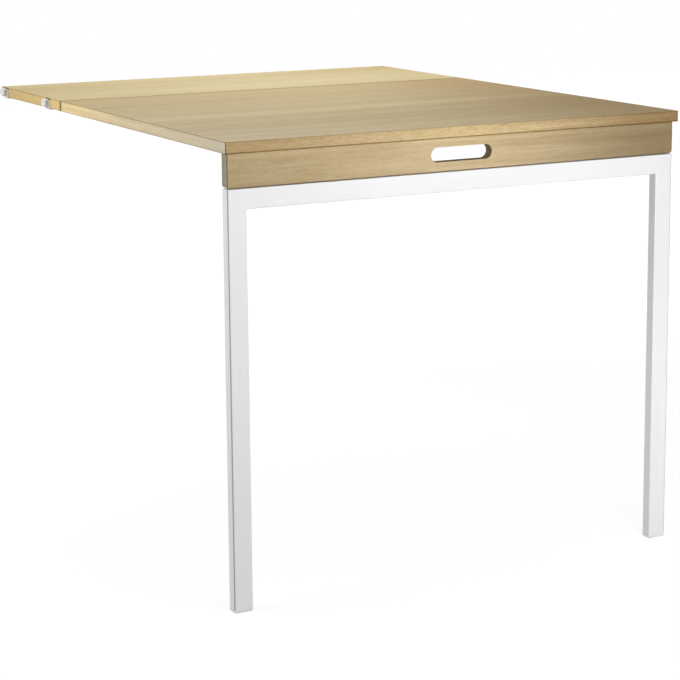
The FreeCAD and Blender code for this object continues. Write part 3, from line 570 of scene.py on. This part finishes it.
def make_apron():
    """The apron with its stadium hand slot, lower corners and all rims rounded."""
    low, high = apron_box
    slot_z = (low.z + high.z) / 2
    corner_z = low.z + APRON_CORNER
    outline = (arc_points((high.x - APRON_CORNER, corner_z), APRON_CORNER, -90, 0, steps=8)
               + [(high.x, high.z), (low.x, high.z)]
               + arc_points((low.x + APRON_CORNER, corner_z), APRON_CORNER, 180, 270, steps=8))
    hole = (arc_points((SLOT_HALF, slot_z), SLOT_END, -90, 90, steps=24)
            + arc_points((-SLOT_HALF, slot_z), SLOT_END, 90, 270, steps=24))
    bm = plate_mesh("apron_board", outline, [hole], high.y - low.y, APRON_EASE)
    move(bm, Matrix.Translation((0, (low.y + high.y) / 2, 0)) @ Matrix.Rotation(math.pi / 2, 4, "X"))
    place_piece("apron_board", mesh_from(bm, "apron_board"), apron_oak, "leaf", "apron")


make_apron()


# ---------------------------------------------------------------- screws

HEAD, CORE, CREST = 3.3 * MM, 1.35 * MM, 1.75 * MM      # radii of the head, shank and thread
RIM_IN, RIM_DOWN = 0.12 * MM, 0.1 * MM                  # the chamfer round the head's face
NECK, TIP, RUN_OUT = 1.9 * MM, 1.2 * MM, 0.8 * MM       # face to thread, the point, and thread to point
PITCH = 0.9 * MM                                        # from one thread ridge to the next
RECESS_TOP, RECESS_BOTTOM = (2.0 * MM, 0.55 * MM), (1.0 * MM, 0.35 * MM)    # half a slot's length and width
RECESS_DEEP, RECESS_OVER = 1.5 * MM, 0.3 * MM           # how far the cutter goes down, and stands out
FIRST_TURN, NEXT_TURN = 25, 67                          # degrees a screw is turned in its hole


def screw_template(length):
    """A countersunk screw along -Z with its face at z = 0: cross recess, and thread ridges on the shank."""
    profile = [(0, 0), (HEAD - RIM_IN, 0), (HEAD, -RIM_DOWN), (CORE, -(HEAD - CORE) - RIM_DOWN)]
    z = -NECK - PITCH / 3
    while z > -length + TIP + RUN_OUT:
        profile += [(CORE, z), (CREST, z - PITCH / 3), (CORE, z - 2 * PITCH / 3)]
        z -= PITCH
    profile += [(CORE, -length + TIP), (0, -length)]
    recesses = []
    for turn in (0, 90):
        bm = bmesh.new()
        bmesh.ops.create_cube(bm, size=1)
        for v in bm.verts:
            deep = v.co.z < 0
            long, wide = RECESS_BOTTOM if deep else RECESS_TOP
            z = -RECESS_DEEP if deep else RECESS_OVER
            v.co = Vector((math.copysign(long, v.co.x), math.copysign(wide, v.co.y), z))
        move(bm, Matrix.Rotation(math.radians(turn), 4, "Z"))
        recesses.append(bm)
    return cut(lathe(profile, steps=24), "screw", recesses)


def loose_parts(node):
    """The centres of a CAD node's separate solids, from left to right and front to back."""
    bm = bmesh.new()
    bm.from_mesh(nodes[node].data)
    bmesh.ops.remove_doubles(bm, verts=bm.verts, dist=SAME)
    seen, centres = set(), []
    for start in bm.verts:
        if start in seen:
            continue
        group, queue = [], [start]
        seen.add(start)
        while queue:
            v = queue.pop()
            group.append(v.co.copy())
            for e in v.link_edges:
                other = e.other_vert(v)
                if other not in seen:
                    seen.add(other)
                    queue.append(other)
        low = Vector(min(c[k] for c in group) for k in range(3))
        high = Vector(max(c[k] for c in group) for k in range(3))
        centres.append((low + high) / 2)
    bm.free()
    return sorted(centres, key=lambda c: (round(c.x, 4), round(c.y, 4)))


def screws(node, body, template, axis, side, turn):
    """A node's screws: the template at each, tilted about X by turn, its face on that side of the node's
    box: 0 is the low side along the axis, 1 the high one."""
    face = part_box(node)[side][axis]
    bm = bmesh.new()
    for k, centre in enumerate(loose_parts(node)):
        centre[axis] = face
        spin = Matrix.Rotation(math.radians(FIRST_TURN + NEXT_TURN * k), 4, "Z")
        copy = template.copy()
        copy.transform(Matrix.Translation(centre) @ Matrix.Rotation(math.radians(turn), 4, "X") @ spin)
        bm.from_mesh(copy)
        bpy.data.meshes.remove(copy)
    place_piece(node + "_set", mesh_from(bm, node), zinc_plate, body, node)


wood_screw, tube_screw = screw_template(14 * MM), screw_template(9 * MM)
for node, body in (("hook_screws", "shelf"), ("shelf_hinge_screws", "shelf"), ("leaf_hinge_screws", "leaf")):
    screws(node, body, wood_screw, axis=2, side=0, turn=180)
screws("apron_hinge_screws", "leaf", wood_screw, axis=1, side=1, turn=-90)
screws("rail_hinge_screws", "legs", tube_screw, axis=1, side=1, turn=-90)


# ---------------------------------------------------------------- hinge plates with rolled knuckles

HINGE, KNUCKLES, GAP = 60 * MM, 3, 0.2 * MM             # its length, its knuckles and the gap between two
BARREL, BORE = 3.5 * MM, 1.55 * MM                      # a knuckle's outer and inner radius
THICK, REACH, DROP = 2 * MM, 25 * MM, 3.8 * MM          # the sheet, its far edge and its screwed face
PLATE_CORNER, PLATE_EASE = 2 * MM, 0.15 * MM            # radii of its corners and rims
ROLL_START = 3 * MM                                     # where the roll leaves the screwed face
SHEET_START, ROLL_END = BARREL + 0.4 * MM, BARREL + 0.9 * MM    # the sheet and the rolls overlap
HOLE_X, HOLE_Y = 18 * MM, 15 * MM                       # a hole's place from the hinge's middle and pin
HOLE, SINK = 1.9 * MM, 3.5 * MM                         # its radius, and its countersink's
PAST = 0.5 * MM                                         # how far the holes' cutter stands out


def knuckle(k):
    """Knuckle k, from the left, rolled round the pin, with a short piece of its sheet."""
    low = DROP - THICK
    touch = math.degrees(math.atan2(DROP, ROLL_START) + math.acos(BARREL / math.hypot(DROP, ROLL_START)))
    lower = 360 + math.degrees(math.atan2(low, math.sqrt(BARREL ** 2 - low ** 2)))
    # the section, counter-clockwise in (y, z): the sheet's two faces run into the roll
    outline = arc_points((0, 0), BARREL, touch, lower, steps=28)
    outline += [(ROLL_END, low), (ROLL_END, DROP), (ROLL_START, DROP)]
    bore = arc_points((0, 0), BORE, 0, 360, steps=24)[:-1]
    step = HINGE / KNUCKLES
    middle = (k - (KNUCKLES - 1) / 2) * step
    left = -HINGE / 2 if k == 0 else middle - step / 2 + GAP / 2
    right = HINGE / 2 if k == KNUCKLES - 1 else middle + step / 2 - GAP / 2
    bm = plate_mesh("knuckle", outline, [bore], right - left, PLATE_EASE, ease_steps=2)
    along_pin = Matrix(((0, 0, 1, 0), (1, 0, 0, 0), (0, 1, 0, 0), (0, 0, 0, 1)))
    move(bm, Matrix.Translation(((left + right) / 2, 0, 0)) @ along_pin)
    return bm


def rolled_plate(outer):
    """One half of a butt hinge: its pin axis is X through the origin, its plate towards +Y, screwed on at its
    upper face, z = DROP. outer: it has the end knuckles, and not the middle one."""
    low, edge = DROP - THICK, HINGE / 2
    outline = ([(-edge, SHEET_START), (edge, SHEET_START)]
               + arc_points((edge - PLATE_CORNER, REACH - PLATE_CORNER), PLATE_CORNER, 0, 90, steps=6)
               + arc_points((PLATE_CORNER - edge, REACH - PLATE_CORNER), PLATE_CORNER, 90, 180, steps=6))
    sheet = plate_mesh("sheet", outline, [], THICK, PLATE_EASE, ease_steps=2)
    move(sheet, Matrix.Translation((0, 0, low + THICK / 2)))
    sinks = []
    for x in (-HOLE_X, HOLE_X):
        sink = lathe([(0, low - PAST), (SINK + PAST, low - PAST), (SINK, low), (HOLE, low + SINK - HOLE),
                      (HOLE, DROP + PAST), (0, DROP + PAST)], steps=32)
        move(sink, Matrix.Translation((x, HOLE_Y, 0)))
        sinks.append(sink)
    parts = [cut(sheet, "hinge_sheet", sinks)]
    parts += [mesh_from(knuckle(k), "knuckle") for k in range(KNUCKLES) if (k % 2 == 0) == outer]
    bm = bmesh.new()
    for part in parts:
        bm.from_mesh(part)
        bpy.data.meshes.remove(part)
    return mesh_from(bm, "hinge_half")


def hinge_half(node, body, template, axis, turn):
    """Puts a rolled plate where its CAD node is. axis: the y and z of its pin."""
    low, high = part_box(node)
    mesh = template.copy()
    mesh.transform(Matrix.Translation(((low.x + high.x) / 2, *axis)) @ turn)
    place_piece(node + "_rolled", mesh, zinc_plate, body, node)


pins = {j["name"]: j["pos_m"][1:] for j in frame["joints"]}
outer_half, inner_half = rolled_plate(True), rolled_plate(False)
about = Matrix.Rotation(math.pi, 4, "Z")
raised = Matrix.Rotation(math.pi / 2, 4, "X")
for where in ("left", "middle", "right"):
    hinge_half(f"seam_hinge_{where}_shelf_plate", "shelf", outer_half, pins["leaf_fold"], Matrix.Identity(4))
    hinge_half(f"seam_hinge_{where}_leaf_plate", "leaf", inner_half, pins["leaf_fold"], about)
for where in ("left", "right"):
    hinge_half(f"leg_hinge_{where}_apron_plate", "leaf", outer_half, pins["leg_fold"], raised)
    hinge_half(f"leg_hinge_{where}_rail_plate", "legs", inner_half, pins["leg_fold"], raised @ about)


# ---------------------------------------------------------------- light, floor and backdrop

LAMPS = (
    # name, place, target, width and height in metres, watts
    ("top", (0.28, 0.4, 0.8), (0.04, -0.2, 0.0), (1.2, 0.5), 8.1),
    ("left", (-2.2, -0.55, 0.5), (-0.39, -0.7, -0.1), (1.2, 1.2), 23.0),
    ("front", (-0.4, -4.2, 0.6), (0.0, -0.95, -0.3), (2.4, 2.0), 42.0),
    ("front_right", (0.75, -2.3, -0.5), (0.4, -0.95, -0.5), (0.6, 0.3), 1.2),
    ("foot_right", (0.55, -1.5, -0.57), (0.4, -0.95, -0.57), (0.3, 0.16), 0.7),
    ("front_near", (0.05, -1.75, 0.05), (0.05, -0.95, -0.02), (0.4, 0.2), 2.9))


def add_lamp(name, place, target, size, power):
    data = bpy.data.lights.new(name, "AREA")
    data.shape, data.size, data.size_y = "RECTANGLE", size[0], size[1]
    data.energy = power
    lamp = bpy.data.objects.new(name, data)
    link(lamp)
    lamp.location = Vector(place)
    lamp.rotation_mode = "QUATERNION"
    lamp.rotation_quaternion = (Vector(target) - Vector(place)).to_track_quat("-Z", "Y")
    lamp.visible_camera = False


for lamp in LAMPS:
    add_lamp(*lamp)


def sees_background(t):
    """1 for camera, mirror and glass rays, which see the plain white background."""
    path = t.add("ShaderNodeLightPath").outputs
    seen = t.math("MAXIMUM", path["Is Camera Ray"], path["Is Glossy Ray"])
    return t.math("MAXIMUM", seen, path["Is Transmission Ray"])


SKY, HORIZON = (0.15, 0.25), (-0.1, 0.1)    # its strength below and above, and where it changes


def make_world():
    """A dim pale sky that lights the table, and plain white where it is seen."""
    world = bpy.data.worlds.new("studio")
    bpy.context.scene.world = world
    t = Tree(world)
    ray = t.add("ShaderNodeTexCoord").outputs["Generated"]
    height = t.add("ShaderNodeSeparateXYZ", {0: ray}).outputs[2]
    level = t.remap(height, *HORIZON, *SKY, True)
    dim = t.add("ShaderNodeBackground", {"Color": WHITE, "Strength": level}).outputs[0]
    white = t.add("ShaderNodeBackground", {"Color": WHITE, "Strength": 1.0}).outputs[0]
    both = t.add("ShaderNodeMixShader", {0: sees_background(t), 1: dim, 2: white})
    t.finish(both.outputs[0], "ShaderNodeOutputWorld")


FLOOR_HALF, FLOOR_DROP = 6.0, 0.2 * MM      # half its side, and how far it is under the feet
SEEN_GREY, LIT_GREY = (0.22, 0.22, 0.22, 1.0), (0.45, 0.45, 0.45, 1.0)      # where it is seen, and else
GLOW, GLOW_REACH = (0.86, 1.0), (1.1, 2.2)  # its strength near the table and far off, and where it changes
GLOW_SHIFT = (0, 0.55, 0)                   # moves its middle under the table


def make_floor():
    """A plain floor just under the feet. Where it is seen, it glows white and takes a faint shadow round the
    table. It lights the table as a grey floor would, and it is clear from below."""
    mesh = bpy.data.meshes.new("floor")
    corners = [(-FLOOR_HALF, -FLOOR_HALF), (FLOOR_HALF, -FLOOR_HALF), (FLOOR_HALF, FLOOR_HALF),
               (-FLOOR_HALF, FLOOR_HALF)]
    mesh.from_pydata([(x, y, FLOOR - FLOOR_DROP) for x, y in corners], [], [(0, 1, 2, 3)])
    floor = bpy.data.objects.new("floor", mesh)
    link(floor)
    material = bpy.data.materials.new("floor_white")
    t = Tree(material)
    place = t.stretch(t.add("ShaderNodeTexCoord").outputs["Object"], (1, 1, 1), GLOW_SHIFT)
    reach = t.add("ShaderNodeVectorMath", {0: place}, operation="LENGTH").outputs["Value"]
    strength = t.remap(reach, *GLOW_REACH, *GLOW, True)
    glow = t.add("ShaderNodeEmission", {"Color": WHITE, "Strength": strength}).outputs[0]
    pale = t.add("ShaderNodeBsdfDiffuse", {"Color": SEEN_GREY}).outputs[0]
    white = t.add("ShaderNodeAddShader", {0: glow, 1: pale}).outputs[0]
    dim = t.add("ShaderNodeBsdfDiffuse", {"Color": LIT_GREY}).outputs[0]
    front = t.add("ShaderNodeMixShader", {0: sees_background(t), 1: dim, 2: white}).outputs[0]
    below = t.add("ShaderNodeNewGeometry").outputs["Backfacing"]
    clear = t.add("ShaderNodeBsdfTransparent").outputs[0]
    t.finish(t.add("ShaderNodeMixShader", {0: below, 1: front, 2: clear}).outputs[0])
    mesh.materials.append(material)


make_world()
make_floor()
bpy.context.scene.view_settings.view_transform = "Standard"
